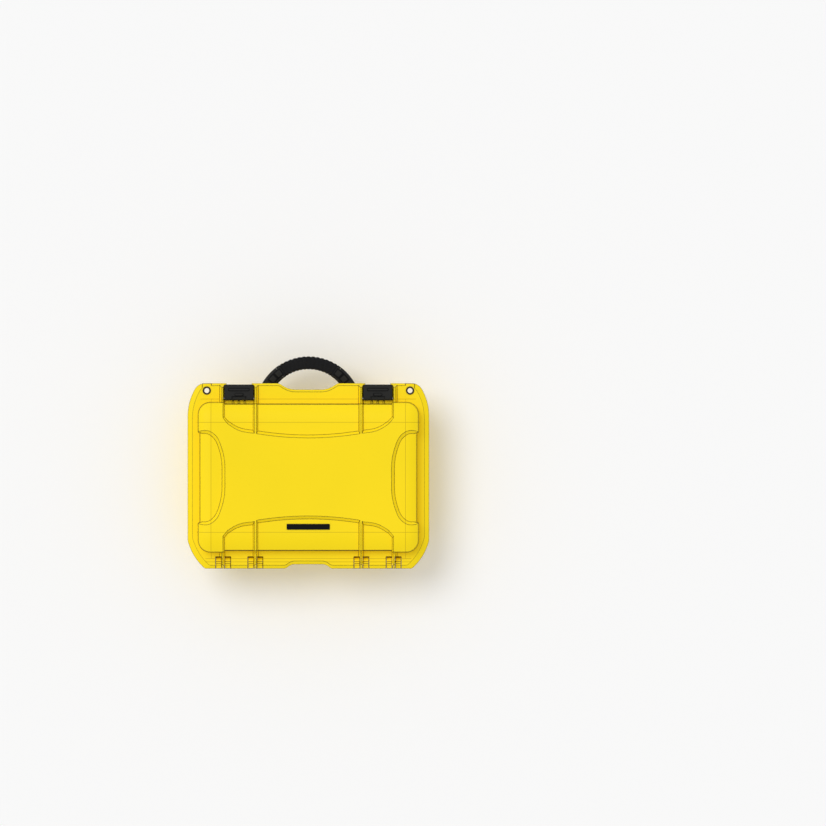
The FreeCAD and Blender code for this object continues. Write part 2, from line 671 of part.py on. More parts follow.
def padlock_pad():
    """The flat pad in the rim round the padlock hole, open to the front edge."""
    middle = f"{SIDE} - padlock_side"
    low = f"{LID_RIM_FLOOR} + wall"
    strip = box(
        "PadStrip", (f"{middle} - padlock_pad_radius", FRONT, low),
        (f"{middle} + padlock_pad_radius", f"{FRONT} + padlock_front", LID_RIM_TOP),
    )
    end = rod(
        "PadEnd", "z", "padlock_pad_radius", (middle, f"{FRONT} + padlock_front", low), "rim_depth - wall",
    )
    limit = prism("PadLimit", rim_outline("PadLimitPlan", LID_RIM_FLOOR), "2 * rim_depth")
    return common("PadlockPad", fuse("PadShape", strip, end), limit)


# Rounding of a long oval's ends, as a share of its width, which leaves a short straight end
OVAL_END = 0.48


def latch_bumps():
    """Three low oval ribs on the rim behind each latch."""
    bumps = []
    for step in (-1, 0, 1):
        middle = f"{LATCH_X} + {step} * bump_spacing"
        low = (f"{middle} - wall / 2", f"{FRONT} + latch_rear + side_play")
        high = (f"{middle} + wall / 2", f"{FRONT} + dome_front + bay_step + wall / 2")
        name = f"LatchBump{step + 1}"
        plan = rounded_box(name + "Plan", "plan", f"{LID_RIM_TOP} - wall", low, high, f"{OVAL_END} * wall")
        bumps.append(prism(name, plan, "wall + grip_ridge_rise"))
    return fuse("LatchBumps", *bumps)


def seal_ring(name, floor, depth, play):
    """A ring along the middle of the gasket, wider and narrower by half its width and the play."""
    blocks = []
    for part, step in (("Outer", f"(seal_width / 2 + {play})"), ("Inner", f"(-seal_width / 2 - {play})")):
        low = (f"-{SIDE} + seal_side - {step}", f"{FRONT} + seal_front - {step}")
        high = (f"{SIDE} - seal_side + {step}", f"{REAR} - seal_rear + {step}")
        plan = rounded_box(f"{name}{part}Plan", "plan", floor, low, high, f"tub_corner + {step}")
        blocks.append(prism(name + part, plan, depth))
    return cut(name, *blocks)


def hinge_slots(name, middle):
    """The gaps in the lid's rim for the two ears beside one knuckle."""
    front = f"{HINGE_Y} - hinge_ear_radius - hinge_room"
    gaps = []
    for side, sign in (("Out", 1), ("In", -1)):
        near = f"{middle} + {sign} * hinge_knuckle_width / 2"
        far = f"{near} + {sign} * (hinge_ear_width + 2 * side_play)"
        low, high = (near, far) if sign > 0 else (far, near)
        gaps.append(box(
            f"{name}{side}", (low, front, "base_height - hinge_ear_radius"),
            (high, f"{REAR} + wall", f"{LID_RIM_TOP} + 2 * rib_rise"),
        ))
    return fuse(name, *gaps)


HINGES = (("Outer", "hinge_outer"), ("Inner", "hinge_inner"))


def lid_shell():
    ribs = []
    knuckles = []
    slots = []
    bores = []
    for place, middle in (("Outer", "rib_outer"), ("Inner", "rib_inner")):
        ribs.append(lid_rib(f"Front{place}Rib", middle, FRONT, 1))
        ribs.append(lid_rib(f"Rear{place}Rib", middle, REAR, -1))
    for place, middle in HINGES:
        start = (f"{middle} - hinge_knuckle_width / 2", HINGE_Y, "base_height")
        knuckles.append(rod(f"{place}Knuckle", "x", "hinge_knuckle_radius", start, "hinge_knuckle_width"))
        bore_radius = "hinge_pin_radius + running_fit"
        bores.append(rod(f"{place}KnuckleBore", "x", bore_radius, start, "hinge_knuckle_width"))
        slots.append(hinge_slots(f"{place}Slots", middle))
    extras = fuse("LidExtras", *ribs, *knuckles, padlock_pad())

    pocket = box(
        "LatchPocket", (f"{LATCH_X} - {LATCH_POCKET_HALF}", f"{FRONT} - wall", LID_RIM_TOP),
        (f"{LATCH_X} + {LATCH_POCKET_HALF}", f"{FRONT} + dome_front + bay_step / 2", LID_TOP),
    )
    notch = box(
        "LidClawNotch", (f"{LATCH_X} - {CLAW_HALF} - 2 * side_play", f"{FRONT} - wall", "base_height"),
        (f"{LATCH_X} + {CLAW_HALF} + 2 * side_play", f"{FRONT} + claw_notch", LID_TOP),
    )
    lever_bore = rod(
        "LeverPinBore", "x", "lever_pin_radius + tight_fit",
        (f"{LATCH_X} - {LATCH_POCKET_HALF} - latch_rib_wall", LEVER_PIN_Y, LEVER_PIN_Z),
        f"2 * ({LATCH_POCKET_HALF} + latch_rib_wall)",
    )
    slide_hole = box(
        "SlideHole",
        (f"{LATCH_X} - latch_width / 2 - slide_travel - slide_play",
         f"{FRONT} + slide_inset - slide_tongue_width / 2 - slide_play",
         f"{LEVER_TOP} - lever_roof - slide_tongue_depth - 2 * slide_play"),
        (f"{LATCH_X} - latch_width / 2",
         f"{FRONT} + slide_inset + slide_tongue_width / 2 + slide_play", f"{LEVER_TOP} - lever_roof"),
    )
    padlock_bore = rod(
        "LidPadlockBore", "z", "padlock_radius + eyelet_wall + tight_fit",
        (f"{SIDE} - padlock_side", f"{FRONT} + padlock_front", "base_height"), "3 * rim_depth",
    )
    right_cuts = fuse("LidRightCuts", pocket, notch, lever_bore, slide_hole, padlock_bore, *slots)

    cavity = low_crown("LidCavity", "bay_depth + wall", "(bay_step + wall)", "base_height - wall")
    panel_plan = rounded_box(
        "PanelCavityPlan", "plan", f"{LID_TOP} - bay_depth - 2 * wall",
        ("-(rib_outer - panel_inset)", f"{FRONT} + front_arch + arch_rise + bay_slope"),
        ("rib_outer - panel_inset", f"{REAR} - (rear_arch + arch_rise + bay_slope)"), "dome_corner",
    )
    panel = common("PanelCavity", prism("PanelBlock", panel_plan, "lid_height"), crown("PanelCrown", "wall"))
    groove = seal_ring("SealGroove", "base_height", "shut_gap + seal_depth", "side_play / 2")

    body = fuse(
        "LidSolid", rim("LidRim", LID_RIM_FLOOR, f"{LID_RIM_FLOOR} + rim_face", LID_RIM_TOP), raised_crown(),
        low_crown("LowCrown", "bay_depth", "bay_step", f"{LID_RIM_FLOOR} + wall / 2"),
        both_sides("LidExtras", extras),
    )
    hollow = fuse("LidHollow", cavity, panel, groove)
    carved = cut("LidCarved", body, hollow, both_sides("LidRightCuts", right_cuts))
    bumped = fuse("LidBumped", carved, both_sides("LatchBumps", latch_bumps()))
    return cut("LidShell", bumped, both_sides("KnuckleBores", fuse("KnuckleBoresRight", *bores)))


def lid_gasket():
    return seal_ring("LidGasket", f"{LID_RIM_FLOOR} - side_play / 3", "seal_depth", "0")


def padlock_eyelet():
    """A flanged sleeve in the lid's padlock hole."""
    middle = (f"{SIDE} - padlock_side", f"{FRONT} + padlock_front")
    sleeve = rod("EyeletSleeve", "z", "padlock_radius + eyelet_wall", middle + (LID_RIM_FLOOR,), "rim_depth")
    flange = rod("EyeletFlange", "z", "eyelet_flange_radius", middle + (LID_RIM_TOP,), "eyelet_flange")
    bore = rod("EyeletBore", "z", "padlock_radius", middle + (LID_RIM_FLOOR,), "rim_depth + eyelet_flange")
    return cut("Eyelet", fuse("EyeletSolid", sleeve, flange), bore)


def name_plate():
    """The blank plate on the floor of the rear bay."""
    low = ("-plate_length / 2", f"{REAR} - plate_inset - plate_width / 2")
    high = ("plate_length / 2", f"{REAR} - plate_inset + plate_width / 2")
    plan = rounded_box("PlatePlan", "plan", f"{LID_TOP} - bay_depth", low, high, "plate_thickness")
    return prism("NamePlate", plan, "plate_thickness")


# Base
TUB = ("tub_side", "tub_front", "tub_rear")


def foot_edge(height):
    """Picks the edges that lie at one height."""
    level = number(height)
    return lambda edge: all(abs(vertex.Z - level) < 1e-6 for vertex in edge.Vertexes)


def tub():
    block = plan_block("TubBlock", *TUB, "tub_corner", ["0", "base_height"], ["tub_draft", "0"])
    return fillet("Tub", block, "tub_foot_radius", foot_edge("0"))


def tub_cavity():
    insets = [f"{inset} + wall" for inset in TUB]
    heights = ["wall", "base_height + wall"]
    block = plan_block("TubCavityBlock", *insets, "tub_corner - wall", heights, ["tub_draft", "0"])
    return fillet("TubCavity", block, "tub_foot_radius - wall", foot_edge("wall"))


def base_post(name, middle):
    """A rib down the front of the base, beside the handle and the latches."""
    inside = f"{FRONT} + tub_front + 2 * wall"
    front = f"{FRONT} + post_setback"
    corners = [
        (inside, "base_height - rim_depth / 2"),
        (front, "base_height - rim_depth / 2"),
        (front, "post_shoulder", "post_radius"),
        (f"{FRONT} + tub_front / 2", "post_waist", "post_radius"),
        (f"{inside} + tub_draft", "post_foot"),
    ]
    profile = outline(name + "Profile", "side", f"{middle} - rib_foot / 2", corners)
    return prism(name, profile, "rib_foot")


def hinge_ear(name, start):
    """An ear that holds a hinge pin, with the rib that carries it."""
    inside = f"{REAR} - tub_rear - 2 * wall"
    back = f"{HINGE_Y} + hinge_ear_radius"
    corners = [
        (inside, "base_height - rim_depth / 2"),
        (f"{HINGE_Y} - hinge_ear_radius", "base_height"),
        (back, "base_height"),
        (back, "base_height - ear_drop", "hinge_ear_radius"),
        (f"{inside} - tub_draft", "ear_foot"),
    ]
    profile = outline(name + "Profile", "side", start, corners)
    rib = prism(name + "Rib", profile, "hinge_ear_width")
    eye = rod(name + "Eye", "x", "hinge_ear_radius", (start, HINGE_Y, "base_height"), "hinge_ear_width")
    return fuse(name, rib, eye)


VALVE_FACE = f"{FRONT} + tub_front"
VALVE_BACK = f"{FRONT} + tub_front + tub_draft + 2 * wall"


def valve_rod(name, radius, start, finish):
    """A cylinder on the pressure valve's axis."""
    return rod(name, "y", radius, ("0", start, "valve_height"), f"({finish}) - ({start})")


def base_shell():
    parts = []
    bores = []
    for place, middle in (("Outer", "rib_outer"), ("Inner", "rib_inner")):
        parts.append(base_post(f"{place}Post", middle))
    for place, middle in HINGES:
        step = "(hinge_knuckle_width / 2 + side_play)"
        parts.append(hinge_ear(f"{place}EarOut", f"{middle} + {step}"))
        parts.append(hinge_ear(f"{place}EarIn", f"{middle} - {step} - hinge_ear_width"))
        reach = "(hinge_knuckle_width / 2 + side_play + hinge_ear_width)"
        start = (f"{middle} - {reach}", HINGE_Y, "base_height")
        bores.append(rod(f"{place}EarBore", "x", "hinge_pin_radius + tight_fit", start, f"2 * {reach}"))
    bores.append(rod(
        "HandlePinBore", "x", "handle_pin_radius + tight_fit",
        ("rib_inner - rib_foot", f"{FRONT} + handle_pivot", "base_height - handle_below"), "2 * rib_foot",
    ))
    bores.append(box(
        "BaseClawNotch",
        (f"{LATCH_X} - {CLAW_HALF} - 2 * side_play", f"{FRONT} - wall", "base_height - 2 * rim_depth"),
        (f"{LATCH_X} + {CLAW_HALF} + 2 * side_play", f"{FRONT} + claw_notch", "base_height + wall"),
    ))
    bores.append(rod(
        "BasePadlockBore", "z", "padlock_radius",
        (f"{SIDE} - padlock_side", f"{FRONT} + padlock_front", "base_height - 2 * rim_depth"),
        "3 * rim_depth",
    ))
    hinge_clear = box(
        "HingeClear",
        (f"-{SIDE}", f"{HINGE_Y} - hinge_knuckle_radius - hinge_room", "base_height - 2 * rim_depth"),
        (SIDE, f"{REAR} + wall", "base_height + wall"),
    )
    rim_block = rim("BaseRim", "base_height", "base_height - rim_face", "base_height - rim_depth")
    flange = cut("BaseFlange", rim_block, hinge_clear)
    outer_boss = valve_rod("ValveOuterBoss", "valve_boss_radius", VALVE_FACE, VALVE_BACK)
    sides = both_sides("BaseSides", fuse("BaseSides", *parts))
    solid = fuse("BaseSolid", tub(), flange, sides, outer_boss)
    hollow = cut("BaseHollow", solid, tub_cavity())
    inner_boss = valve_rod("ValveInnerBoss", "valve_boss_radius", f"{VALVE_FACE} + wall", VALVE_BACK)
    bossed = fuse("BaseBossed", hollow, inner_boss)
    valve_bore = valve_rod("ValveBore", "valve_radius", f"{VALVE_FACE} - wall", f"{VALVE_BACK} + wall")
    return cut("BaseShell", bossed, both_sides("BaseBores", fuse("BaseBores", *bores)), valve_bore)


def hinge_pin(place, middle):
    reach = "(hinge_knuckle_width / 2 + side_play + hinge_ear_width)"
    start = (f"{middle} - {reach}", HINGE_Y, "base_height")
    return rod(f"{place}HingePin", "x", "hinge_pin_radius", start, f"2 * {reach}")


# Pressure valve
VALVE_SEAT = f"{VALVE_FACE} - valve_seal"


def valve_body():
    flange = valve_rod("ValveFlange", "valve_flange_radius", f"{VALVE_SEAT} - valve_flange", VALVE_SEAT)
    tail = f"{VALVE_BACK} + valve_nut + valve_seal"
    stem = valve_rod("ValveStem", "valve_radius - tight_fit", f"{VALVE_SEAT} - valve_flange / 2", tail)
    vent = valve_rod("ValveVent", "valve_radius / 2", f"{VALVE_SEAT} - valve_flange / 3", tail)
    return cut("ValveBody", fuse("ValveSolid", flange, stem), vent)


def valve_seal():
    ring = valve_rod("ValveSealRing", "valve_flange_radius - valve_seal", VALVE_SEAT, VALVE_FACE)
    return cut("ValveSeal", ring, valve_rod("ValveSealBore", "valve_radius", VALVE_SEAT, VALVE_FACE))


def valve_nut():
    nut = doc.addObject("Part::Prism", "ValveNutHexagon")
    nut.Polygon = 6
    nut.Placement = Placement(Vector(), ALONG["y"])
    bind(nut, Circumradius="valve_nut_flat / sqrt(3)", Height="valve_nut")
    bind(nut, Placement__Base__y=VALVE_BACK, Placement__Base__z="valve_height")
    bore = valve_rod("ValveNutBore", "valve_radius", VALVE_BACK, f"{VALVE_BACK} + valve_nut")
    return cut("ValveNut", nut, bore)


# Handle
HANDLE_Y = f"{FRONT} + handle_centre"
PIVOT_Y = f"{FRONT} + handle_pivot"
PIVOT_Z = "base_height - handle_below"
HANDLE_MIDDLE = f"{HANDLE_Y} - handle_outer + handle_width / 2"


def handle_arc(name, width, thickness, rounding, angle):
    """A curved bar about the handle's centre, as wide as it spans an angle."""
    low = (f"{HANDLE_MIDDLE} - ({width}) / 2", f"{PIVOT_Z} - ({thickness}) / 2")
    high = (f"{HANDLE_MIDDLE} + ({width}) / 2", f"{PIVOT_Z} + ({thickness}) / 2")
    item = doc.addObject("Part::Revolution", name)
    item.Source = rounded_box(name + "Section", "side", "0", low, high, rounding)
    item.Axis = Vector(0, 0, 1)
    item.Solid = True
    item.Symmetric = True
    bind(item, Angle=angle, Base__y=HANDLE_Y)
    return item


def handle_frame():
    """The hard frame: two legs with hubs and a core under the soft grip."""
    arc = handle_arc("HandleArc", "handle_width", "handle_thickness", "handle_rounding", "handle_arc_angle")
    gap = handle_arc(
        "HandleGripGap", "2 * handle_width", "2 * handle_thickness", "handle_rounding", "handle_grip_angle",
    )
    core = handle_arc(
        "HandleCore", "handle_core_width", "handle_core_thickness", "handle_rounding / 2",
        "handle_grip_angle + 2 * handle_core_overlap",
    )
    reach = box(
        "HandleReach", ("-hub_end", f"{FRONT} - handle_outer", "0"),
        ("hub_end", f"{PIVOT_Y} + handle_thickness / 2", "base_height"),
    )
    hub_start = ("hub_end - handle_hub_length", PIVOT_Y, PIVOT_Z)
    hub = rod("HandleHub", "x", "handle_thickness / 2", hub_start, "handle_hub_length")
    legs = common("HandleLegs", cut("HandleEnds", arc, gap), reach)
    solid = fuse("HandleSolid", legs, core, both_sides("HandleHub", hub))
    bore = rod("HandleHubBore", "x", "handle_pin_radius + running_fit", hub_start, "handle_hub_length")
    bite = box(
        "HandleBite", ("-(hub_end - handle_hub_length)", PIVOT_Y, "0"),
        ("hub_end - handle_hub_length", f"{PIVOT_Y} + handle_thickness", "base_height"),
    )
    return cut("HandleFrame", solid, both_sides("HandleHubBore", bore), bite)


def handle_grip():
    """The soft sleeve over the core, held between the legs."""
    sleeve = handle_arc(
        "GripSleeve", "handle_width", "handle_thickness", "handle_rounding", "handle_grip_angle - side_play",
    )
    bore = handle_arc(
        "GripBore", "handle_core_width + 2 * tight_fit", "handle_core_thickness + 2 * tight_fit",
        "handle_rounding / 2 + tight_fit", "handle_grip_angle + handle_core_overlap",
    )
    return cut("HandleGrip", sleeve, bore)


def handle_pin():
    """A headed pin through the base's inner rib into the handle's hub."""
    start = "hub_end - handle_hub_length"
    finish = "rib_inner + rib_foot / 2"
    length = f"{finish} - ({start})"
    shank = rod("HandlePinShank", "x", "handle_pin_radius", (start, PIVOT_Y, PIVOT_Z), length)
    head = rod("HandlePinHead", "x", "pin_head_radius", (finish, PIVOT_Y, PIVOT_Z), "pin_head_rise")
    return fuse("HandlePin", shank, head)


# Latch
def latch_lever():
    """The lever: a hollow hood with two cheeks and a hub at the rear."""
    front = f"{FRONT} + latch_front"
    rear = f"{FRONT} + latch_rear"
    profile = outline("LeverProfile", "side", f"{LATCH_X} - latch_width / 2", [
        (front, LEVER_FLOOR, "lever_roof / 2"),
        (rear, LEVER_FLOOR, "lever_hub_radius"),
        (rear, LEVER_TOP, "lever_hub_radius"),
        (front, LEVER_TOP, "lever_roof"),
    ])
    hood = prism("LeverHood", profile, "latch_width")
    room = box(
        "LeverRoom",
        (f"{LATCH_X} - latch_width / 2 + lever_cheek", f"{FRONT} - wall", f"{LEVER_FLOOR} - wall"),
        (f"{LATCH_X} + latch_width / 2 - lever_cheek", f"{LEVER_PIN_Y} - lever_hub_radius",
         f"{LEVER_TOP} - lever_roof"),
    )
    across = f"{LATCH_X} - latch_width / 2"
    pin_bore = rod(
        "LeverBore", "x", "lever_pin_radius + running_fit", (across, LEVER_PIN_Y, LEVER_PIN_Z), "latch_width",
    )
    claw_bore = rod(
        "LeverClawBore", "x", "claw_pin_radius + tight_fit", (across, CLAW_PIN_Y, CLAW_PIN_Z), "latch_width",
    )
    neck_half = "(slide_neck_width / 2 + slide_play)"
    neck_slot = box(
        "NeckSlot",
        (f"{LATCH_X} - slide_neck_length / 2 - slide_travel - slide_play",
         f"{FRONT} + slide_inset - {neck_half}", f"{LEVER_TOP} - 2 * lever_roof"),
        (f"{LATCH_X} + slide_neck_length / 2 + slide_play", f"{FRONT} + slide_inset + {neck_half}",
         f"{LEVER_TOP} + wall"),
    )
    tongue_half = "(slide_tongue_width / 2 + slide_play)"
    tongue_slot = box(
        "TongueSlot",
        (f"{across} - wall", f"{FRONT} + slide_inset - {tongue_half}",
         f"{LEVER_TOP} - lever_roof - slide_tongue_depth - 2 * slide_play"),
        (f"{across} + 2 * lever_cheek", f"{FRONT} + slide_inset + {tongue_half}",
         f"{LEVER_TOP} - lever_roof"),
    )
    ridge_plan = rounded_box(
        "RidgePlan", "plan", f"{LEVER_TOP} - lever_roof / 2",
        (f"{LATCH_X} - grip_ridge_length / 2", f"{FRONT} + grip_ridge_inset - grip_ridge_width / 2"),
        (f"{LATCH_X} + grip_ridge_length / 2", f"{FRONT} + grip_ridge_inset + grip_ridge_width / 2"),
        f"{OVAL_END} * grip_ridge_width",
    )
    ridge = prism("Ridge", ridge_plan, "lever_roof / 2 + grip_ridge_rise")
    solid = fuse("LeverSolid", hood, ridge)
    return cut("LatchLever", solid, room, pin_bore, claw_bore, neck_slot, tongue_slot)


def latch_slide():
    """The slide lock: a button over the lever, joined through its slot to a tongue below."""
    button_plan = rounded_box(
        "ButtonPlan", "plan", f"{LEVER_TOP} + slide_play",
        (f"{LATCH_X} - slide_button_length / 2", f"{FRONT} + slide_inset - slide_button_width / 2"),
        (f"{LATCH_X} + slide_button_length / 2", f"{FRONT} + slide_inset + slide_button_width / 2"),
        f"{OVAL_END} * slide_button_width",
    )
    button = prism("SlideButton", button_plan, "slide_button_rise")
    tongue_top = f"{LEVER_TOP} - lever_roof - slide_play"
    tongue = box(
        "SlideTongue",
        (f"{LATCH_X} - latch_width / 2 + slide_play", f"{FRONT} + slide_inset - slide_tongue_width / 2",
         f"{tongue_top} - slide_tongue_depth"),
        (f"{LATCH_X} + slide_neck_length", f"{FRONT} + slide_inset + slide_tongue_width / 2", tongue_top),
    )
    neck = box(
        "SlideNeck",
        (f"{LATCH_X} - slide_neck_length / 2", f"{FRONT} + slide_inset - slide_neck_width / 2",
         f"{tongue_top} - slide_tongue_depth / 2"),
        (f"{LATCH_X} + slide_neck_length / 2", f"{FRONT} + slide_inset + slide_neck_width / 2",
         f"{LEVER_TOP} + slide_play + slide_button_rise / 2"),
    )
    return fuse("LatchSlide", button, neck, tongue)


def latch_claw():
    """The claw that hangs from the lever and hooks under the base's rim."""
    front = f"{CLAW_PIN_Y} - claw_knuckle_radius"
    back = f"{front} + claw_thickness"
    tip = f"{FRONT} + claw_notch - claw_clear"
    hook_top = "base_height - rim_depth - hook_drop"
    profile = outline("ClawProfile", "side", f"{LATCH_X} - {CLAW_HALF}", [
        (front, CLAW_PIN_Z),
        (front, f"{hook_top} - hook_thickness", "claw_thickness / 2"),
        (tip, f"{hook_top} - hook_thickness / 2"),
        (tip, hook_top),
        (back, hook_top),
        (back, CLAW_PIN_Z),
    ])
    plate = prism("ClawPlate", profile, f"2 * {CLAW_HALF}")
    start = (f"{LATCH_X} - {CLAW_HALF}", CLAW_PIN_Y, CLAW_PIN_Z)
    knuckle = rod("ClawKnuckle", "x", "claw_knuckle_radius", start, f"2 * {CLAW_HALF}")
    bore = rod("ClawBore", "x", "claw_pin_radius + running_fit", start, f"2 * {CLAW_HALF}")
    return cut("LatchClaw", fuse("ClawSolid", plate, knuckle), bore)


def lever_pin():
    reach = f"({LATCH_POCKET_HALF} + latch_rib_wall - side_play)"
    start = (f"{LATCH_X} - {reach}", LEVER_PIN_Y, LEVER_PIN_Z)
    return rod("LeverPin", "x", "lever_pin_radius", start, f"2 * {reach}")


def claw_pin():
    start = (f"{LATCH_X} - latch_width / 2", CLAW_PIN_Y, CLAW_PIN_Z)
    return rod("ClawPin", "x", "claw_pin_radius", start, "latch_width")


# The pieces, each under its own name
subpart("base_shell", base_shell())
subpart("lid_shell", lid_shell())
subpart("lid_gasket", lid_gasket())
subpart("name_plate", name_plate())
subpart("valve_body", valve_body())
subpart("valve_seal", valve_seal())
subpart("valve_nut", valve_nut())
subpart("handle_frame", handle_frame())
subpart("handle_grip", handle_grip())

RIGHT_PIECES = {
    "hinge_pin_outer": lambda: hinge_pin("Outer", "hinge_outer"),
    "hinge_pin_inner": lambda: hinge_pin("Inner", "hinge_inner"),
    "padlock_eyelet": padlock_eyelet,
    "handle_pin": handle_pin,
    "latch_lever": latch_lever,
    "latch_slide": latch_slide,
    "latch_claw": latch_claw,
    "lever_pin": lever_pin,
    "claw_pin": claw_pin,
}
for piece, make in RIGHT_PIECES.items():
    right = subpart(piece + "_right", make())
    subpart(piece + "_left", mirrored(right.Name + "Left", right))

doc.recompute()
for item in doc.Objects:
    if "Invalid" in item.State or "Error" in item.State:
        raise RuntimeError(f"{item.Name} failed: {item.State}")

os.makedirs("parts", exist_ok=True)
for label, item in subparts.items():
    shape = item.Shape
    if shape.isNull() or not shape.isValid() or len(shape.Solids) != 1:
        raise RuntimeError(f"{label} is not one valid solid")
    print(f"{label}: {shape.Volume / 1000:.2f} cm3")
    shape.exportStep(f"parts/{label}.step")
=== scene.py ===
import json
import math

import bmesh
import bpy
from mathutils import Matrix, Vector


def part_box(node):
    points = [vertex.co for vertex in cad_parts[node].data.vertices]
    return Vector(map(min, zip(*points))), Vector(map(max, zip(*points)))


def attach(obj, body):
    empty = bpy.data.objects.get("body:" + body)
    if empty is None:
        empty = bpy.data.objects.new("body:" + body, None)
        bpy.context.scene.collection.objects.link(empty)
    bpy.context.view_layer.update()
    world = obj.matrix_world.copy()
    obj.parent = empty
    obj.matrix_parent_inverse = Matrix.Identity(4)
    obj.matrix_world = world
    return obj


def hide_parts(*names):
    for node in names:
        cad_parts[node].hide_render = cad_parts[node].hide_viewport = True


# A moulded hard case with black latches and a carrying handle, dressed for its picture.
# Metres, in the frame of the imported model: the front edge with the handle is at -Y, the lid on top.
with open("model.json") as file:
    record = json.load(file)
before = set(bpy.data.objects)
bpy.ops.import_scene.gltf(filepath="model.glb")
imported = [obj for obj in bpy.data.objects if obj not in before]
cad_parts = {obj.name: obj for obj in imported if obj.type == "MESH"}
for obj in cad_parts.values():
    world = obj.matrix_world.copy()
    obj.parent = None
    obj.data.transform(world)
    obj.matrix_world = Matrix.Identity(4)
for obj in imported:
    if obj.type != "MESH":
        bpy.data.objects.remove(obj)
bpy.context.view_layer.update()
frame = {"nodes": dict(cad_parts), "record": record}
nodes = frame["nodes"]


def srgb(red, green, blue):
    """A colour written as 0 to 255 on a screen, as the renderer's light values."""
    def light(part):
        share = part / 255
        return share / 12.92 if share <= 0.04045 else ((share + 0.055) / 1.055) ** 2.4
    return (light(red), light(green), light(blue), 1.0)


# Colours of the finishes
SHELL_YELLOW = srgb(250, 219, 10)
SHELL_DRIFT = srgb(246, 217, 10)
EDGE_BROWN = srgb(72, 54, 1)
WITNESS_YELLOW = srgb(176, 148, 6)
SATIN_BLACK = srgb(38, 38, 37)
SEAM_BLACK = srgb(2, 2, 2)
RUBBED_BLACK = srgb(54, 54, 53)
GRIP_BLACK = srgb(22, 22, 23)
GRIP_DUST = srgb(34, 34, 35)
SEAL_BLACK = srgb(28, 28, 28)
SEAL_BLOOM = srgb(48, 47, 46)
STEEL_GREY = srgb(178, 178, 180)
STEEL_DARK = srgb(128, 128, 132)
PLATE_BLACK = srgb(8, 8, 9)
PLATE_BORDER = srgb(44, 44, 46)
EYELET_BROWN = srgb(46, 38, 22)
EYELET_RUB = srgb(88, 76, 48)


# Shader helpers
def place(tree, kind, settings=None, inputs=None):
    """Add a node, set its options, and set or link its inputs."""
    made = tree.nodes.new(kind)
    for name, value in (settings or {}).items():
        setattr(made, name, value)
    for name, value in (inputs or {}).items():
        if isinstance(value, bpy.types.NodeSocket):
            tree.links.new(value, made.inputs[name])
        else:
            made.inputs[name].default_value = value
    return made


def math_node(tree, operation, first, second=0.0):
    """One step of arithmetic on shader values."""
    made = place(tree, "ShaderNodeMath", {"operation": operation}, {0: first, 1: second})
    return made.outputs["Value"]


def spread(tree, value, low, high, to_low=0.0, to_high=1.0):
    """Map a value from one range to another, held at its ends."""
    inputs = {"Value": value, "From Min": low, "From Max": high, "To Min": to_low, "To Max": to_high}
    return place(tree, "ShaderNodeMapRange", None, inputs).outputs["Result"]


def blend_colours(tree, share, first, second):
    """The first colour, with a share of the second laid over it."""
    made = place(tree, "ShaderNodeMix", {"data_type": "RGBA"})
    sockets = {"Factor_Float": share, "A_Color": first, "B_Color": second}
    for socket in made.inputs:
        value = sockets.get(socket.identifier)
        if value is None:
            continue
        if isinstance(value, bpy.types.NodeSocket):
            tree.links.new(value, socket)
        else:
            socket.default_value = value
    return next(socket for socket in made.outputs if socket.identifier == "Result_Color")


def object_point(tree):
    """The point of the surface, in the piece's own coordinates."""
    return place(tree, "ShaderNodeTexCoord").outputs["Object"]


def split(tree, vector):
    """The three outputs of a vector, named X, Y and Z."""
    return place(tree, "ShaderNodeSeparateXYZ", None, {"Vector": vector}).outputs


def new_group(name, inputs, outputs):
    """An empty shader group with float inputs and typed outputs."""
    tree = bpy.data.node_groups.new(name, "ShaderNodeTree")
    for socket in inputs:
        tree.interface.new_socket(name=socket, in_out="INPUT", socket_type="NodeSocketFloat")
    for socket, kind in outputs.items():
        tree.interface.new_socket(name=socket, in_out="OUTPUT", socket_type=kind)
    return tree, tree.nodes.new("NodeGroupInput"), tree.nodes.new("NodeGroupOutput")


# Effects that several finishes share
EDGE_SAMPLES = 8
EDGE_FLAT = 0.999
EDGE_TURNED = 0.98


def rounded_edges():
    """Small moulded roundings: a mask along the edges of a piece and a normal that rounds them."""
    outputs = {"Mask": "NodeSocketFloat", "Normal": "NodeSocketVector"}
    tree, given, result = new_group("rounded_edges", ["Radius"], outputs)
    rounded = place(tree, "ShaderNodeBevel", {"samples": EDGE_SAMPLES}, {"Radius": given.outputs["Radius"]})
    surface = place(tree, "ShaderNodeNewGeometry")
    dot = place(tree, "ShaderNodeVectorMath", {"operation": "DOT_PRODUCT"},
                {0: rounded.outputs["Normal"], 1: surface.outputs["Normal"]})
    mask = spread(tree, dot.outputs["Value"], EDGE_FLAT, EDGE_TURNED)
    tree.links.new(mask, result.inputs["Mask"])
    tree.links.new(rounded.outputs["Normal"], result.inputs["Normal"])
    return tree


# The drift's range of noise, and the range of the grain's height
DRIFT_LOW, DRIFT_HIGH = 0.35, 0.65
GRAIN_LOW, GRAIN_HIGH = 0.4, 1.3


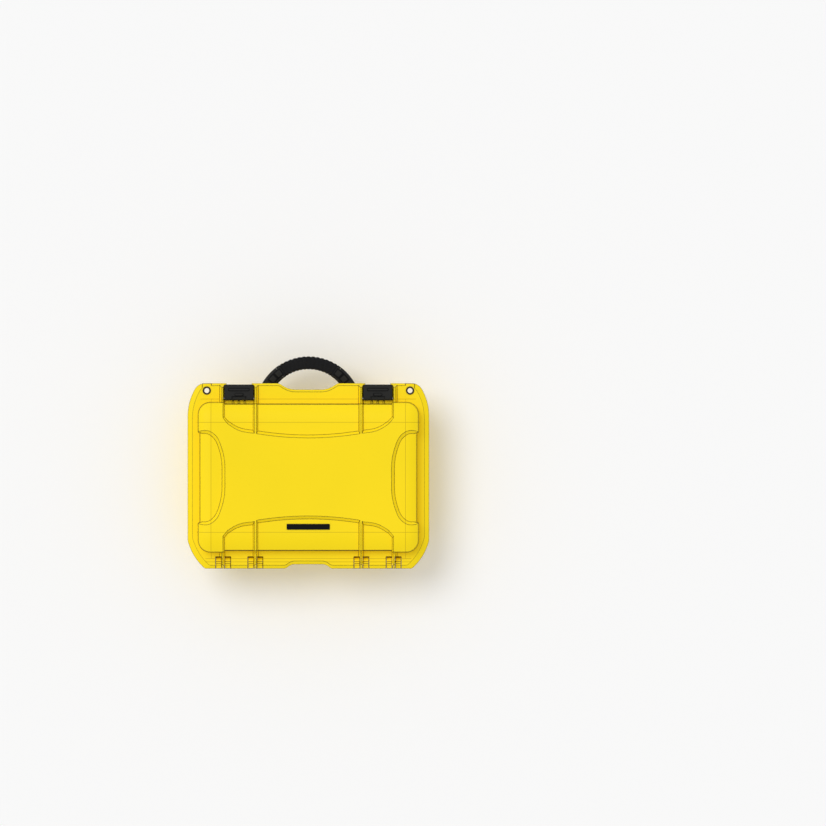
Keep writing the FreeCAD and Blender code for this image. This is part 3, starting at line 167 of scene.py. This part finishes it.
def moulded_grain():
    """The fine pebbled texture of a mould: its height, and slow drifts of tone."""
    outputs = {"Height": "NodeSocketFloat", "Drift": "NodeSocketFloat"}
    tree, given, result = new_group("moulded_grain", ["Grain", "Patch"], outputs)
    point = object_point(tree)
    pebbles = place(tree, "ShaderNodeTexVoronoi", {"feature": "F1"},
                    {"Vector": point, "Scale": given.outputs["Grain"]})
    fine = place(tree, "ShaderNodeTexNoise", None,
                 {"Vector": point, "Scale": given.outputs["Grain"], "Detail": 3.0, "Roughness": 0.6})
    height = math_node(tree, "ADD", pebbles.outputs["Distance"], fine.outputs["Fac"])
    slow = place(tree, "ShaderNodeTexNoise", None,
                 {"Vector": point, "Scale": given.outputs["Patch"], "Detail": 2.0, "Roughness": 0.4})
    drift = spread(tree, slow.outputs["Fac"], DRIFT_LOW, DRIFT_HIGH)
    tree.links.new(height, result.inputs["Height"])
    tree.links.new(drift, result.inputs["Drift"])
    return tree


# Rub marks: how they are turned and drawn out, and the ranges of noise where they show
MARK_TURN = (0.3, 0.2, 0.6)
MARK_STRETCH = (25, 420, 420)
MARK_PATCH_SCALE = 16.0
MARK_LOW, MARK_HIGH = 0.66, 0.76
MARK_PATCH_LOW, MARK_PATCH_HIGH = 0.5, 0.68


def handling_marks():
    """Faint short rub marks from use, as a mask."""
    tree, given, result = new_group("handling_marks", ["Amount"], {"Mask": "NodeSocketFloat"})
    point = object_point(tree)
    turned = place(tree, "ShaderNodeMapping", None, {"Vector": point, "Rotation": MARK_TURN})
    drawn = place(tree, "ShaderNodeMapping", None,
                  {"Vector": turned.outputs["Vector"], "Scale": MARK_STRETCH})
    streaks = place(tree, "ShaderNodeTexNoise", None,
                    {"Vector": drawn.outputs["Vector"], "Scale": 1.0, "Detail": 2.0, "Roughness": 0.5})
    where = place(tree, "ShaderNodeTexNoise", None,
                  {"Vector": point, "Scale": MARK_PATCH_SCALE, "Detail": 1.0})
    thin = spread(tree, streaks.outputs["Fac"], MARK_LOW, MARK_HIGH)
    patch = spread(tree, where.outputs["Fac"], MARK_PATCH_LOW, MARK_PATCH_HIGH)
    both = math_node(tree, "MULTIPLY", thin, patch)
    mask = math_node(tree, "MULTIPLY", both, given.outputs["Amount"])
    tree.links.new(mask, result.inputs["Mask"])
    return tree


EDGES = rounded_edges()
GRAIN = moulded_grain()
MARKS = handling_marks()


def use_group(tree, group, **values):
    """Place a shared effect in a material, with the material's own values."""
    return place(tree, "ShaderNodeGroup", {"node_tree": group}, values)


def start_material(name):
    """A material with its principled shader, ready for a finish."""
    material = bpy.data.materials.new(name)
    material.use_nodes = True
    return material, material.node_tree, material.node_tree.nodes["Principled BSDF"]


def grain_roughness(tree, grain, limits):
    """Roughness that follows the height of the grain between two limits."""
    return spread(tree, grain.outputs["Height"], GRAIN_LOW, GRAIN_HIGH, *limits)


def feed(tree, shader, colour, roughness, height, depth, normal=None):
    """Link a finish to the shader: its colour, its roughness and the relief of its grain."""
    tree.links.new(colour, shader.inputs["Base Color"])
    tree.links.new(roughness, shader.inputs["Roughness"])
    inputs = {"Height": height, "Distance": depth, "Strength": 1.0}
    if normal is not None:
        inputs["Normal"] = normal
    bump = place(tree, "ShaderNodeBump", None, inputs)
    tree.links.new(bump.outputs["Normal"], shader.inputs["Normal"])


# Faint lines where the lid's mould changes its curve. The two side lines run along Y.
# The cross lines run along X, each given by its place and its half length.
# They show above the height LINE_FLOOR, where the upright part of the normal is over FACING_UP.
SIDE_LINE = 0.185
SIDE_LINE_BEGIN = -0.146
SIDE_LINE_END = 0.157
CROSS_LINES = [(-0.1022, 0.213), (0.107, 0.213), (-0.1465, 0.205), (0.1574, 0.196), (0.1637, 0.196)]
LINE_HALF = 0.0006
LINE_CORE = LINE_HALF / 2
LINE_FLOOR = 0.1185
FACING_UP = 0.5


def witness_lines():
    """The lid's faint mould lines, as a mask on surfaces that face up."""
    tree, given, result = new_group("witness_lines", ["Amount"], {"Mask": "NodeSocketFloat"})
    point = split(tree, object_point(tree))
    facing = split(tree, place(tree, "ShaderNodeTexCoord").outputs["Normal"])["Z"]
    up = math_node(tree, "GREATER_THAN", facing, FACING_UP)
    above = math_node(tree, "GREATER_THAN", point["Z"], LINE_FLOOR)
    lines = [(point["X"], point["Y"], place_x, SIDE_LINE_BEGIN, SIDE_LINE_END)
             for place_x in (SIDE_LINE, -SIDE_LINE)]
    lines += [(point["Y"], point["X"], place_y, -half, half) for place_y, half in CROSS_LINES]
    drawn = 0.0
    for across, along, middle, begin, end in lines:
        away = math_node(tree, "ABSOLUTE", math_node(tree, "SUBTRACT", across, middle))
        line = spread(tree, away, LINE_HALF, LINE_CORE)
        line = math_node(tree, "MULTIPLY", line, math_node(tree, "GREATER_THAN", along, begin))
        line = math_node(tree, "MULTIPLY", line, math_node(tree, "LESS_THAN", along, end))
        drawn = math_node(tree, "MAXIMUM", line, drawn)
    for limit in (up, above, given.outputs["Amount"]):
        drawn = math_node(tree, "MULTIPLY", drawn, limit)
    tree.links.new(drawn, result.inputs["Mask"])
    return tree


# Finishes. EDGE is the rounding of a finish's edges and RELIEF the depth of its grain, in metres.
# GRAIN and PATCH are the cells to a metre of its fine texture and of its drift of tone.
# ROUGHNESS gives the limits that its roughness keeps, and GLOSS is its specular level.
SHELL_EDGE = 0.0019
SHELL_EDGE_SHARE = 0.95
SHELL_GRAIN = 1300.0
SHELL_PATCH = 6.0
SHELL_RELIEF = 0.00004
SHELL_ROUGHNESS = (0.44, 0.56)
SHELL_GLOSS = 0.18
SHELL_MARKS = 0.12
SHELL_LINES = 0.75


def yellow_shell():
    """Moulded yellow shell: fine pebbled texture, darker lines along its edges and faint mould lines."""
    material, tree, shader = start_material("yellow_shell")
    edges = use_group(tree, EDGES, Radius=SHELL_EDGE)
    grain = use_group(tree, GRAIN, Grain=SHELL_GRAIN, Patch=SHELL_PATCH)
    marks = use_group(tree, MARKS, Amount=SHELL_MARKS)
    lines = use_group(tree, witness_lines(), Amount=SHELL_LINES)
    colour = blend_colours(tree, grain.outputs["Drift"], SHELL_YELLOW, SHELL_DRIFT)
    colour = blend_colours(tree, lines.outputs["Mask"], colour, WITNESS_YELLOW)
    colour = blend_colours(tree, marks.outputs["Mask"], colour, WITNESS_YELLOW)
    edge_share = math_node(tree, "MULTIPLY", edges.outputs["Mask"], SHELL_EDGE_SHARE)
    colour = blend_colours(tree, edge_share, colour, EDGE_BROWN)
    roughness = grain_roughness(tree, grain, SHELL_ROUGHNESS)
    shader.inputs["Specular IOR Level"].default_value = SHELL_GLOSS
    feed(tree, shader, colour, roughness, grain.outputs["Height"], SHELL_RELIEF, edges.outputs["Normal"])
    return material


PLASTIC_EDGE = 0.0015
PLASTIC_GRAIN = 1900.0
PLASTIC_PATCH = 14.0
PLASTIC_RELIEF = 0.00004
PLASTIC_ROUGHNESS = (0.4, 0.55)
PLASTIC_GLOSS = 0.07
PLASTIC_MARKS = 0.5


def black_plastic():
    """Satin black plastic of the latches, the handle's frame and the valve, darker along its edges."""
    material, tree, shader = start_material("black_plastic")
    edges = use_group(tree, EDGES, Radius=PLASTIC_EDGE)
    grain = use_group(tree, GRAIN, Grain=PLASTIC_GRAIN, Patch=PLASTIC_PATCH)
    marks = use_group(tree, MARKS, Amount=PLASTIC_MARKS)
    colour = blend_colours(tree, marks.outputs["Mask"], SATIN_BLACK, RUBBED_BLACK)
    colour = blend_colours(tree, edges.outputs["Mask"], colour, SEAM_BLACK)
    roughness = grain_roughness(tree, grain, PLASTIC_ROUGHNESS)
    shader.inputs["Specular IOR Level"].default_value = PLASTIC_GLOSS
    feed(tree, shader, colour, roughness, grain.outputs["Height"], PLASTIC_RELIEF, edges.outputs["Normal"])
    return material


GRIP_GRAIN = 900.0
GRIP_PATCH = 20.0
GRIP_RELIEF = 0.00012
GRIP_ROUGHNESS = (0.72, 0.85)
GRIP_GLOSS = 0.06
DUST_LOW = 0.6


def soft_grip():
    """Matte rubber of the carrying grip, with a little dust in its texture."""
    material, tree, shader = start_material("soft_grip")
    grain = use_group(tree, GRAIN, Grain=GRIP_GRAIN, Patch=GRIP_PATCH)
    dust = spread(tree, grain.outputs["Height"], DUST_LOW, GRAIN_HIGH)
    colour = blend_colours(tree, dust, GRIP_BLACK, GRIP_DUST)
    roughness = spread(tree, grain.outputs["Drift"], 0.0, 1.0, *GRIP_ROUGHNESS)
    shader.inputs["Specular IOR Level"].default_value = GRIP_GLOSS
    feed(tree, shader, colour, roughness, grain.outputs["Height"], GRIP_RELIEF)
    return material


SEAL_GRAIN = 700.0
SEAL_PATCH = 30.0
SEAL_RELIEF = 0.00005
SEAL_ROUGHNESS = (0.7, 0.9)


def seal_rubber():
    """Dull rubber of the gasket and the valve's ring, with a pale bloom."""
    material, tree, shader = start_material("seal_rubber")
    grain = use_group(tree, GRAIN, Grain=SEAL_GRAIN, Patch=SEAL_PATCH)
    colour = blend_colours(tree, grain.outputs["Drift"], SEAL_BLACK, SEAL_BLOOM)
    roughness = grain_roughness(tree, grain, SEAL_ROUGHNESS)
    feed(tree, shader, colour, roughness, grain.outputs["Height"], SEAL_RELIEF)
    return material


STEEL_STRETCH = (60, 4000, 4000)
STEEL_LOW, STEEL_HIGH = 0.3, 0.7
STEEL_RELIEF = 0.00001
STEEL_ROUGHNESS = (0.25, 0.42)


def pin_steel():
    """Drawn steel of the pins, with fine lines along their length."""
    material, tree, shader = start_material("pin_steel")
    drawn = place(tree, "ShaderNodeMapping", None, {"Vector": object_point(tree), "Scale": STEEL_STRETCH})
    streaks = place(tree, "ShaderNodeTexNoise", None,
                    {"Vector": drawn.outputs["Vector"], "Scale": 1.0, "Detail": 3.0})
    colour = blend_colours(tree, streaks.outputs["Fac"], STEEL_GREY, STEEL_DARK)
    roughness = spread(tree, streaks.outputs["Fac"], STEEL_LOW, STEEL_HIGH, *STEEL_ROUGHNESS)
    shader.inputs["Metallic"].default_value = 1.0
    feed(tree, shader, colour, roughness, streaks.outputs["Fac"], STEEL_RELIEF)
    return material


PLATE_EDGE = 0.0009
PLATE_GRAIN = 2200.0
PLATE_PATCH = 25.0
PLATE_RELIEF = 0.00001
PLATE_ROUGHNESS = (0.32, 0.42)
PLATE_GLOSS = 0.07


def plate_black():
    """The blank plate and the plates on the handle's legs: satin black with a fine paler border."""
    material, tree, shader = start_material("plate_black")
    edges = use_group(tree, EDGES, Radius=PLATE_EDGE)
    grain = use_group(tree, GRAIN, Grain=PLATE_GRAIN, Patch=PLATE_PATCH)
    colour = blend_colours(tree, edges.outputs["Mask"], PLATE_BLACK, PLATE_BORDER)
    roughness = grain_roughness(tree, grain, PLATE_ROUGHNESS)
    shader.inputs["Specular IOR Level"].default_value = PLATE_GLOSS
    feed(tree, shader, colour, roughness, grain.outputs["Height"], PLATE_RELIEF, edges.outputs["Normal"])
    return material


EYELET_EDGE = 0.0005
EYELET_RUB_SHARE = 0.5
EYELET_GRAIN = 2600.0
EYELET_PATCH = 60.0
EYELET_RELIEF = 0.00001
EYELET_ROUGHNESS = (0.3, 0.45)
EYELET_METAL = 0.6


def eyelet_dark():
    """Dark burnished metal of the padlock eyelets, rubbed brighter along its edges."""
    material, tree, shader = start_material("eyelet_dark")
    edges = use_group(tree, EDGES, Radius=EYELET_EDGE)
    grain = use_group(tree, GRAIN, Grain=EYELET_GRAIN, Patch=EYELET_PATCH)
    rubbed = math_node(tree, "MULTIPLY", edges.outputs["Mask"], EYELET_RUB_SHARE)
    colour = blend_colours(tree, rubbed, EYELET_BROWN, EYELET_RUB)
    roughness = grain_roughness(tree, grain, EYELET_ROUGHNESS)
    shader.inputs["Metallic"].default_value = EYELET_METAL
    feed(tree, shader, colour, roughness, grain.outputs["Height"], EYELET_RELIEF, edges.outputs["Normal"])
    return material


FINISHES = {
    "yellow_shell": yellow_shell(),
    "black_plastic": black_plastic(),
    "soft_grip": soft_grip(),
    "seal_rubber": seal_rubber(),
    "pin_steel": pin_steel(),
    "plate_black": plate_black(),
    "eyelet_dark": eyelet_dark(),
}


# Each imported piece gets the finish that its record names
for part in frame["record"]["subparts"]:
    materials = nodes[part["node"]].data.materials
    materials.clear()
    materials.append(FINISHES[part["material_slot"]])


# Pieces that the frame does not carry
DOUBLES_WITHIN = 1e-6
SHARP_ANGLE = math.radians(35)
UP = Vector((0, 0, 1))


def mesh_from(build, name):
    """Turn a bmesh into a mesh and let the bmesh go."""
    mesh = bpy.data.meshes.new(name)
    build.to_mesh(mesh)
    build.free()
    return mesh


def put_in_scene(name, data):
    """Show a mesh, a lamp or a camera in the scene, as an object at the origin."""
    piece = bpy.data.objects.new(name, data)
    bpy.context.scene.collection.objects.link(piece)
    return piece


def finished(name, mesh_builder, body, finish):
    """Make a piece from its builder, in place, and let it ride on a body."""
    build = bmesh.new()
    mesh_builder(build)
    bmesh.ops.remove_doubles(build, verts=build.verts, dist=DOUBLES_WITHIN)
    bmesh.ops.recalc_face_normals(build, faces=build.faces)
    mesh = mesh_from(build, name)
    piece = put_in_scene(name, mesh)
    mesh.shade_smooth()
    mesh.set_sharp_from_angle(angle=SHARP_ANGLE)
    mesh.materials.append(FINISHES[finish])
    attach(piece, body)
    return piece


# The handle's arc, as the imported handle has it
HANDLE_LOW, HANDLE_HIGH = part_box("handle_grip")
HANDLE_OUTER = 0.102
HANDLE_WIDTH = 0.025
HANDLE_CENTRE = Vector((0, HANDLE_LOW.y + HANDLE_OUTER, (HANDLE_LOW.z + HANDLE_HIGH.z) / 2))
HANDLE_THICKNESS = HANDLE_HIGH.z - HANDLE_LOW.z
HANDLE_MIDDLE = HANDLE_OUTER - HANDLE_WIDTH / 2
CORNER_SEGMENTS = 4


def bar_along_arc(build, height, width, thickness, rounding, begin, end, steps):
    """A rounded bar that follows the handle's arc between two angles, counted from the front."""
    bar = bmesh.new()
    for across, up in ((-1, -1), (1, -1), (1, 1), (-1, 1)):
        bar.verts.new((0, -HANDLE_MIDDLE - across * width / 2, height + up * thickness / 2))
    bar.faces.new(bar.verts)
    bmesh.ops.bevel(bar, geom=bar.verts[:], offset=rounding, offset_type="OFFSET",
                    segments=CORNER_SEGMENTS, profile=0.5, affect="VERTICES", material=-1)
    bmesh.ops.rotate(bar, cent=(0, 0, 0), matrix=Matrix.Rotation(begin, 3, "Z"), verts=bar.verts)
    section = bar.faces[:] + bar.edges[:] + bar.verts[:]
    bmesh.ops.spin(bar, geom=section, cent=(0, 0, 0), axis=UP, angle=end - begin, steps=steps,
                   use_merge=False, use_duplicate=False)
    mesh = mesh_from(bar, "bar")
    build.from_mesh(mesh)
    bpy.data.meshes.remove(mesh)


def to_handle(build):
    """Move bars made round the origin to the handle's place."""
    bmesh.ops.translate(build, vec=HANDLE_CENTRE, verts=build.verts)


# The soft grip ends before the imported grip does, and a collar of the frame's plastic fills the rest
GRIP_HALF_ANGLE = math.radians(33.4)
LEG_BEGIN = math.radians(37.8)
GRIP_RIBS = 13
GRIP_RIB_SHARE = 0.58
GRIP_GROOVE = 0.0009
SLEEVE_ROUNDING = 0.0045
SLEEVE_STEPS = 48
RIB_ROUNDING = 0.005
RIB_STEPS = 4
COLLAR_ROUNDING = 0.0035
COLLAR_STEPS = 6


def handle_grip(build):
    """The soft grip: a sleeve with ribs across it."""
    sleeve_width = HANDLE_WIDTH - 2 * GRIP_GROOVE
    sleeve_thickness = HANDLE_THICKNESS - 2 * GRIP_GROOVE
    bar_along_arc(build, 0, sleeve_width, sleeve_thickness, SLEEVE_ROUNDING,
                  -GRIP_HALF_ANGLE, GRIP_HALF_ANGLE, SLEEVE_STEPS)
    pitch = 2 * GRIP_HALF_ANGLE / GRIP_RIBS
    for rib in range(GRIP_RIBS):
        middle = -GRIP_HALF_ANGLE + (rib + 0.5) * pitch
        half = GRIP_RIB_SHARE * pitch / 2
        bar_along_arc(build, 0, HANDLE_WIDTH, HANDLE_THICKNESS, RIB_ROUNDING,
                      middle - half, middle + half, RIB_STEPS)
    to_handle(build)


grip = finished("handle_grip_cover", handle_grip, "handle", "soft_grip")
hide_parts("handle_grip")


def leg_collar(side):
    """The end of a leg between the soft grip and the handle's frame."""
    def collar(build):
        angles = sorted((side * GRIP_HALF_ANGLE, side * LEG_BEGIN))
        bar_along_arc(build, 0, HANDLE_WIDTH, HANDLE_THICKNESS, COLLAR_ROUNDING, *angles, COLLAR_STEPS)
        to_handle(build)
    return collar


# Relief on the legs: where it begins and ends along the arc, in degrees from the front
LEG_PLATE = ((34.2, 54.2),)
LEG_PANELS = ((35.6, 43.2), (45.2, 52.8))
PLATE_WIDTH = 0.0165
PLATE_RISE = 0.0003
PANEL_WIDTH = 0.012
PANEL_RISE = 0.0008
RELIEF_DEPTH = 0.0016
RELIEF_ROUNDING = 0.0002
RELIEF_STEPS = 8


def leg_relief(side, arcs, width, rise):
    """Raised bars on the top and the underside of one leg of the handle."""
    def relief(build):
        height = HANDLE_THICKNESS / 2 + rise - RELIEF_DEPTH / 2
        for level in (-height, height):
            for begin, end in arcs:
                angles = sorted((side * math.radians(begin), side * math.radians(end)))
                bar_along_arc(build, level, width, RELIEF_DEPTH, RELIEF_ROUNDING, *angles, RELIEF_STEPS)
        to_handle(build)
    return relief


for side_name, side in (("left", -1), ("right", 1)):
    finished(f"handle_leg_collar_{side_name}", leg_collar(side), "handle", "black_plastic")
    plate = leg_relief(side, LEG_PLATE, PLATE_WIDTH, PLATE_RISE)
    panels = leg_relief(side, LEG_PANELS, PANEL_WIDTH, PANEL_RISE)
    finished(f"handle_leg_plate_{side_name}", plate, "handle", "plate_black")
    finished(f"handle_leg_panels_{side_name}", panels, "handle", "black_plastic")


def block(build, low, high):
    """A plain block between two corners."""
    low, high = Vector(low), Vector(high)
    scale = Matrix.Diagonal((*(high - low), 1))
    bmesh.ops.create_cube(build, size=1, matrix=Matrix.Translation((low + high) / 2) @ scale)


# The hinge ears' upper relief: its lowest and highest Y and Z, from the hinge's axis
EAR_WIDTH = 0.011
EAR_STOP = ((0.0065, -0.004), (0.0124, 0.005))
EAR_BAR = ((-0.0012, 0.0070), (0.0031, 0.0092))


def hinge_ear_relief(build):
    """A stop behind each hinge ear and a bar across its top."""
    for place_name in ("outer", "inner"):
        for side_name in ("left", "right"):
            low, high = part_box(f"hinge_pin_{place_name}_{side_name}")
            axis = (low + high) / 2
            for start in (low.x, high.x - EAR_WIDTH):
                for (near, bottom), (far, top) in (EAR_STOP, EAR_BAR):
                    block(build, (start, axis.y + near, axis.z + bottom),
                          (start + EAR_WIDTH, axis.y + far, axis.z + top))


finished("hinge_ear_relief", hinge_ear_relief, "base", "yellow_shell")

# The raised border behind the slide lock on each latch lever
LEVER_TOP = 0.1301
BORDER_HALF = 0.0138
BORDER_BAR = 0.0018
BORDER_FRONT = -0.152
BORDER_REAR = -0.1475
BORDER_RISE = 0.0005
BORDER_SUNK = 0.0006


def lever_border(side):
    """A bar across the lever and two bars that run back from its ends."""
    def border(build):
        low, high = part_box(f"latch_lever_{side}")
        middle = (low.x + high.x) / 2
        bottom, top = LEVER_TOP - BORDER_SUNK, LEVER_TOP + BORDER_RISE
        bar_rear = BORDER_FRONT + BORDER_BAR
        block(build, (middle - BORDER_HALF, BORDER_FRONT, bottom), (middle + BORDER_HALF, bar_rear, top))
        for start in (middle - BORDER_HALF, middle + BORDER_HALF - BORDER_BAR):
            block(build, (start, bar_rear, bottom), (start + BORDER_BAR, BORDER_REAR, top))
    return border


for side_name in ("left", "right"):
    finished(f"latch_lever_border_{side_name}", lever_border(side_name), f"latch_lever_{side_name}",
             "black_plastic")


# Stage
FLOOR_HALF = 40.0
FLOOR_WHITE = (0.94, 0.94, 0.94, 1)
FLOOR_ROUGHNESS = 0.9


def floor():
    """A matt white floor, far wider than the case."""
    build = bmesh.new()
    bmesh.ops.create_grid(build, x_segments=1, y_segments=1, size=FLOOR_HALF)
    mesh = mesh_from(build, "floor")
    piece = put_in_scene("floor", mesh)
    material, _, shader = start_material("floor_white")
    shader.inputs["Base Color"].default_value = FLOOR_WHITE
    shader.inputs["Roughness"].default_value = FLOOR_ROUGHNESS
    shader.inputs["Specular IOR Level"].default_value = 0.0
    mesh.materials.append(material)


ROOM_STRENGTH = 0.72


def room_light():
    """Even light from all round, white behind everything that the camera and reflections see."""
    world = bpy.data.worlds.new("studio")
    bpy.context.scene.world = world
    world.use_nodes = True
    tree = world.node_tree
    background = tree.nodes["Background"]
    background.inputs["Color"].default_value = (1, 1, 1, 1)
    path = place(tree, "ShaderNodeLightPath")
    seen = math_node(tree, "MAXIMUM", path.outputs["Is Camera Ray"], path.outputs["Is Glossy Ray"])
    seen = math_node(tree, "MAXIMUM", seen, path.outputs["Is Transmission Ray"])
    strength = spread(tree, seen, 0.0, 1.0, ROOM_STRENGTH, 1.0)
    tree.links.new(strength, background.inputs["Strength"])


SUN_ENERGY = 1.05
SUN_SPREAD = math.radians(35)
SUN_AIM = Vector((-0.45, 0.4, -1.0))


def key_light():
    """A wide soft sun that gives the forms their shade."""
    lamp = bpy.data.lights.new("key", "SUN")
    lamp.energy = SUN_ENERGY
    lamp.angle = SUN_SPREAD
    piece = put_in_scene("key", lamp)
    piece.rotation_euler = SUN_AIM.to_track_quat("-Z", "Y").to_euler()


# Camera: straight over the lid from far away, with the front edge towards the top of the picture
PICTURE_SPAN = 1.572
PICTURE_CENTRE = Vector((-0.1993, -0.1199, 0.14))
LENS_MM = 500.0
SENSOR_MM = 36.0
VIEW_END = 200


def camera():
    """The picture's camera, at the distance where its span fills the frame."""
    data = bpy.data.cameras.new("camera")
    data.lens = LENS_MM
    data.sensor_width = SENSOR_MM
    data.clip_end = VIEW_END
    piece = put_in_scene("camera", data)
    distance = PICTURE_SPAN * LENS_MM / SENSOR_MM
    piece.location = PICTURE_CENTRE + UP * distance
    piece.rotation_euler = (0, 0, math.pi)
    bpy.context.scene.camera = piece


floor()
room_light()
key_light()
camera()
bpy.context.scene.view_settings.view_transform = "Standard"
